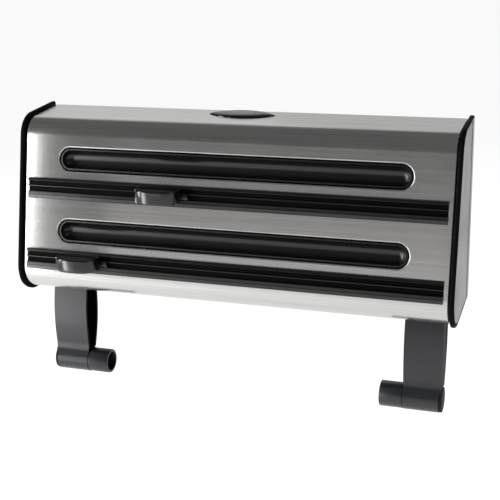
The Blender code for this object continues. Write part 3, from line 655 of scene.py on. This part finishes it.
def cutters():
    """Each cutter's knob, with a raised rim round its top, and its carriage."""
    for name, height in RAIL_HEIGHTS.items():
        low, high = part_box(f"{name}_cutter_knob")
        centre = (low.x + high.x) / 2
        start = front_matrix(height + KNOB_LIFT).translation + FRONT_OUT * KNOB_FACE
        slope = FRONT_RUN.y / FRONT_RUN.z

        base = start.z - KNOB_TALL / 2
        top = start.z + KNOB_TALL / 2
        steps = [(base + rise, inset) for rise, inset in KNOB_FOOT]
        steps += [(top + rise, inset) for rise, inset in KNOB_TOP]
        rings = [knob_ring(z, inset, start.y, start.y + (z - start.z) * slope) for z, inset in steps]
        knob = loft(f"{name}_knob_grip", rings, Matrix.Translation((centre, 0.0, 0.0)))
        smooth(knob, 40.0)
        finish_piece(knob, f"{name}_cutter", KNOB, "dark_grey_plastic", f"{name}_cutter_knob")
        low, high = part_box(f"{name}_cutter_carriage")
        carriage = prism(f"{name}_carriage_slide", CARRIAGE, low.x, high.x, rail_matrix(height))
        soften(carriage, 0.0004, 2, 40.0)
        finish_piece(carriage, f"{name}_cutter", KNOB, "black_plastic", f"{name}_cutter_carriage")


# ---------------------------------------------------------------- the housing

def side_ring(x, depths, radii=ROUNDS):
    """The housing's outline at x, moved in by a depth on each side."""
    sizes = [max(r - d, SMALLEST_ROUND) for r, d in zip(radii, depths)]
    return [(x, p.x, p.y - RISE) for p in housing_loop(depths, sizes)]


def cheeks():
    """The side plates: a rounded rim round a sunk silver inlay."""
    for side, name in SIDES:
        low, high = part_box(f"{name}_cheek")
        inner, outer = (low.x, high.x) if side > 0 else (high.x, low.x)
        rings = [side_ring(inner, [CHEEK_BACK_EDGE] * 4)]
        rings.append(side_ring(inner + side * CHEEK_BACK_EDGE, [0.0] * 4))
        for drop, inset in CHEEK_RIM:
            rings.append(side_ring(outer - side * drop, [inset] * 4))
        for drop, inset in INLAY_EDGE:
            rings.append(side_ring(outer - side * drop, [b + inset for b in INLAY_BORDERS], INLAY_ROUNDS))
        rings.append(side_ring(outer - side * INLAY_SUNK, INLAY_BORDERS, INLAY_ROUNDS))
        plate = loft(f"{name}_side_plate", rings)
        smooth(plate, 50.0)
        finish_piece(plate, "housing", CHEEK, "black_plastic", f"{name}_cheek")
        plate.data.materials.append(CHEEK_FACE)
        for face in plate.data.polygons:
            turned_away = face.normal.y > 0.3 or face.normal.z < -0.3
            face.material_index = int(side * face.normal.x > 0.6 or turned_away)
        low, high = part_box(f"{name}_cheek_panel")
        loop = housing_loop([b + INLAY_GAP for b in INLAY_BORDERS], INLAY_ROUNDS)
        inlay = side_prism(f"{name}_silver_inlay", loop, low.x, high.x)
        soften(inlay, 0.0002, 2, 40.0)
        finish_piece(inlay, "housing", SILVER, "silver_inlay", f"{name}_cheek_panel")


# ---------------------------------------------------------------- the arms

def arm_channel():
    """The outline of the arm's hollow, open at the top and closed over the tube."""
    wall = Vector((ARM_WALL, 0.0))
    front = [p + wall for p in curve_through(ARM_FRONT[:-1])]
    back = [p - wall for p in curve_through(ARM_BACK[1:])]
    front[0].y = back[-1].y = CHANNEL_TOP
    return front + [Vector((y, HUB_DROP + HUB_R)) for y in CHANNEL_FLOOR] + back


def left_arm():
    """A channel open towards the roll, with a tube across its lower end and a slot in its outer side."""
    low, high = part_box("left_arm")
    inner, outer = high.x, low.x
    front = curve_through(ARM_FRONT[:-1] + ARM_FILLET)
    outline = front + [Vector(TUBE_INSIDE)] + curve_through(ARM_BACK)
    arm = side_prism("left_swing_arm", outline, outer, inner)

    def across(radius, start, end):
        return spun("tube", [(radius, start), (radius, end)], HUB_AXIS, 64)

    cut(arm, across(HUB_R, outer + ARM_CAP_SEAT, inner), operation="UNION")
    cut(arm, side_prism("channel", arm_channel(), outer + ARM_WALL, inner + THROUGH))
    cut(arm, across(ARM_TUBE_BORE_R, outer + ARM_TUBE_WEB, inner + THROUGH))
    cut(arm, across(HUB_R + 0.0002, outer - THROUGH, outer + ARM_CAP_SEAT))
    slot = [Vector(p) + Vector((0.0, RISE)) for p in ARM_SLOT]
    cut(arm, side_prism("slot", slot, outer - THROUGH, outer + ARM_SLOT_DEEP))
    return soften(arm, 0.0010, 4, 40.0)


def arms():
    """Both arms, each with its clip and hub, with painted shade as a darker, matt black in their hollows and
    a darker, matt grey on their outer sides.
    """
    arm = left_arm()
    for side, name in SIDES:
        low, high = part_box(f"{name}_arm")
        outer = high.x if side > 0 else low.x
        if side > 0:
            arm = mirrored(arm, "right_swing_arm")
        finish_piece(arm, f"{name}_arm", GREY, "dark_grey_plastic", f"{name}_arm")
        arm.data.materials.append(SHADED_GREY_SIDE)
        arm.data.materials.append(SHADE_BLACK)
        for face in arm.data.polygons:
            facing_in = (face.center.y - ARM_MIDDLE) * face.normal.y < 0.0
            towards_middle = facing_in and abs(face.normal.y) > 0.5
            # Faces inside the channel and faces towards the roll get the painted shade black
            hollow = towards_middle and face.center.z > HUB_Z + HUB_R or side * face.normal.x < -0.9
            # Outer faces get the darker painted-shade grey, the rest the arm's grey
            face.material_index = 2 if hollow else int(side * face.normal.x > 0.9)
        low_z, high_z = ARM_CLIP
        clip = block(f"{name}_arm_clip", (outer - side * 0.0012, ARM_SLOT[0][0] - 0.0008, low_z),
                     (outer - side * 0.0002, ARM_SLOT[0][0] + 0.0022, high_z))
        soften(clip, 0.0003, 2, 40.0)
        finish_piece(clip, f"{name}_arm", GREY, "dark_grey_plastic")
        hub(name, side)


def hub(name, side):
    """The open tube stub and the arm's closed, slightly domed end."""
    profile = [(HUB_SPIGOT_BORE, HUB_TIP), (HUB_SPIGOT_R, HUB_TIP), (HUB_SPIGOT_R, HUB_SHOULDER),
               (HUB_STUB_R - 0.0004, HUB_SHOULDER), (HUB_STUB_R, HUB_SHOULDER - 0.0004),
               (HUB_STUB_R, HUB_INNER + 0.0008), (HUB_STUB_R - 0.0003, HUB_INNER + 0.0002),
               (HUB_STUB_R - 0.0008, HUB_INNER), (HUB_BORE_R + 0.0004, HUB_INNER),
               (HUB_BORE_R, HUB_INNER + 0.0004), (HUB_BORE_R, HUB_SHOULDER - 0.002),
               (HUB_SPIGOT_BORE, HUB_SHOULDER)]
    stub = spun(f"{name}_hub_stub", [(r, side * h) for r, h in profile], HUB_AXIS, 72, closed=True)
    smooth(stub, 40.0)
    finish_piece(stub, f"{name}_arm", GREY, "dark_grey_plastic", f"{name}_hub")
    low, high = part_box(f"{name}_hub_cap")
    outer = high.x if side > 0 else -low.x
    profile = [(CAP_R, outer - CAP_DEEP)]
    for i in range(10):
        turn = math.pi / 2 * (1 - i / 9.5)
        profile.append((CAP_R * math.sin(turn) ** 0.7, outer - CAP_DOME * (1 - math.cos(turn))))
    cap = spun(f"{name}_end_cap", [(r, side * h) for r, h in profile], HUB_AXIS, 64)
    smooth(cap, 50.0)
    # The end cap gets the darker painted-shade grey
    finish_piece(cap, f"{name}_arm", SHADED_GREY_SIDE, "dark_grey_plastic", f"{name}_hub_cap")


# ---------------------------------------------------------------- carried-over nodes

def keep(material, *nodes):
    """Gives CAD nodes that show as they are their material."""
    for name in nodes:
        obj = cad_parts[name]
        obj.data.materials.clear()
        obj.data.materials.append(material)


def carried_over():
    """The plates, trays and mechanism inside, which keep their CAD shapes."""
    keep(BLACK, "back_plate", "bottom_plate", "upper_tray", "lower_tray")
    keep(GREY, "latch_hook", "latch_seat", "latch_strike")
    keep(WIRE, "latch_spring", "upper_cutter_blade", "lower_cutter_blade")
    for side, name in SIDES:
        keep(BLACK, f"{name}_cover_end")
        keep(GREY, f"{name}_arm_bracket")
        keep(WIRE, f"{name}_hinge_pin", f"{name}_arm_pin", f"{name}_arm_spring")


# ---------------------------------------------------------------- studio and camera

CAMERA = Vector((0.2982, -0.8667, 0.2366))
TARGET = Vector((-0.00324, 0.0, -0.05197))
CAMERA_LENS_MM = 76.71
CAMERA_ROLL = math.radians(-1.51)

WHITE = (1.0, 1.0, 1.0)
WARM_WHITE = (1.0, 0.98, 0.96)
# Soft lights: name, azimuth, elevation, distance, width, height, radiance, colour
LIGHTS = (
    ("key", -40.9, -4.7, 1.5, 0.30, 0.925, 10.0, WHITE),
    ("left_strip", -63.0, 12.0, 1.5, 0.26, 1.1, 16.0, WHITE),
    ("right_top", 75.0, 55.0, 1.8, 0.5, 0.5, 6.0, WHITE),
    ("front_fill", -15.0, -1.0, 2.2, 1.0, 0.30, 0.80, WARM_WHITE),
    ("behind", 199.0, 28.0, 2.4, 2.4, 1.6, 0.62, WHITE),
    ("behind_left", 209.0, 30.0, 2.6, 0.9, 1.2, 0.22, WHITE))
# The room's grey at each height, from the horizon upwards
ROOM_STOPS = ((0.0, 0.60), (0.05, 0.36), (0.11, 0.15), (0.22, 0.08), (0.45, 0.14), (0.9, 0.16))
ROOM_BLUE = 1.01
FLOOR_HALF = 14.0
FLOOR_Z = -0.60
FLOOR_GREY = 0.62
FLOOR_GLOW = 0.85


def camera():
    """The camera at the photograph's viewing angle."""
    data = bpy.data.cameras.new("view")
    data.lens = CAMERA_LENS_MM
    data.sensor_width = 36.0
    obj = bpy.data.objects.new("view", data)
    bpy.context.scene.collection.objects.link(obj)
    look = (TARGET - CAMERA).to_track_quat("-Z", "Y").to_matrix().to_4x4()
    obj.matrix_world = Matrix.Translation(CAMERA) @ look @ Matrix.Rotation(CAMERA_ROLL, 4, "Z")
    bpy.context.scene.camera = obj


def panel(name, azimuth, elevation, distance, width, height, radiance, colour):
    """A soft light at a direction from the object: azimuth 0 is in front, positive to the right."""
    a, e = math.radians(azimuth), math.radians(elevation)
    place = Vector((math.sin(a) * math.cos(e), -math.cos(a) * math.cos(e), math.sin(e))) * distance
    data = bpy.data.lights.new(name, "AREA")
    data.shape = "RECTANGLE"
    data.size, data.size_y = width, height
    data.energy = radiance * math.pi * width * height
    data.color = colour
    obj = bpy.data.objects.new(name, data)
    bpy.context.scene.collection.objects.link(obj)
    obj.matrix_world = Matrix.Translation(place) @ (-place).to_track_quat("-Z", "Y").to_matrix().to_4x4()


def studio():
    """The room, the soft lights and the floor."""
    bpy.context.scene.view_settings.view_transform = "Standard"
    room()
    for light in LIGHTS:
        panel(*light)
    floor()


def room():
    """A room that is bright near the floor and dark overhead."""
    world = bpy.data.worlds.new("studio")
    world.use_nodes = True
    tree = world.node_tree
    coords = tree.nodes.new("ShaderNodeTexCoord")
    split = tree.nodes.new("ShaderNodeSeparateXYZ")
    ramp = tree.nodes.new("ShaderNodeValToRGB")
    tree.links.new(coords.outputs["Generated"], split.inputs["Vector"])
    tree.links.new(split.outputs["Z"], ramp.inputs["Fac"])
    tree.links.new(ramp.outputs["Color"], tree.nodes["Background"].inputs["Color"])
    while len(ramp.color_ramp.elements) < len(ROOM_STOPS):
        ramp.color_ramp.elements.new(0.5)
    for element, (place, grey) in zip(ramp.color_ramp.elements, ROOM_STOPS):
        element.position = place
        element.color = (grey, grey, grey * ROOM_BLUE, 1.0)
    bpy.context.scene.world = world


def floor():
    """A plain pale floor under the object."""
    bm = bmesh.new()
    corners = ((-1, -1), (1, -1), (1, 1), (-1, 1))
    bm.faces.new([bm.verts.new((x * FLOOR_HALF, y * FLOOR_HALF, FLOOR_Z)) for x, y in corners])
    ground = piece_from("floor", bm)
    n = Nodes("pale_floor")
    n.set(Base_Color=(FLOOR_GREY, FLOOR_GREY, FLOOR_GREY, 1.0), Roughness=0.9, Specular_IOR_Level=0.1,
          Emission_Color=(*WHITE, 1.0), Emission_Strength=FLOOR_GLOW)
    ground.data.materials.append(n.material)


skin()
troughs()
rails()
latch_button()
cutters()
cheeks()
arms()
carried_over()
studio()
camera()
